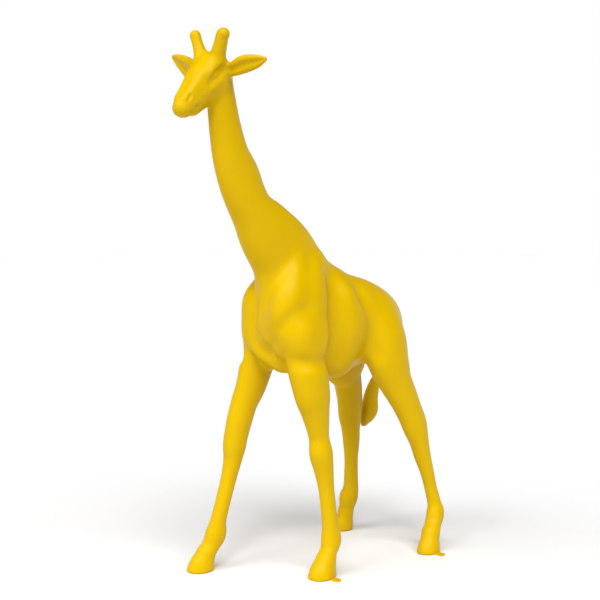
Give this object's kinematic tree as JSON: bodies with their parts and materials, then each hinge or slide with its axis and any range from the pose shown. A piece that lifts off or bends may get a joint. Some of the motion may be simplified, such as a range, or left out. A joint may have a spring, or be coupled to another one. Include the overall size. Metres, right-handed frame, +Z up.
{
  "type": "giraffe statue",
  "caption": "Giraffe figure in a walking pose, cast in one piece and painted, standing on flat hoof soles, with small fixing lugs at its left hooves for bolting it down.",
  "frame": {"origin": "on the ground, under the middle of the whole statue", "axes": "+Z up, the giraffe faces -Y and its own left side is +X"},
  "size_m": [0.6904, 1.4066, 2.3],
  "materials": {
    "yellow_paint": "semi-gloss yellow paint on moulded fibreglass",
    "painted_steel": "satin yellow paint on flat steel"
  },
  "bodies": {
    "root": {"giraffe": "yellow_paint", "front_fixing_lug": "painted_steel", "hind_fixing_lug": "painted_steel"}
  },
  "joints": []
}
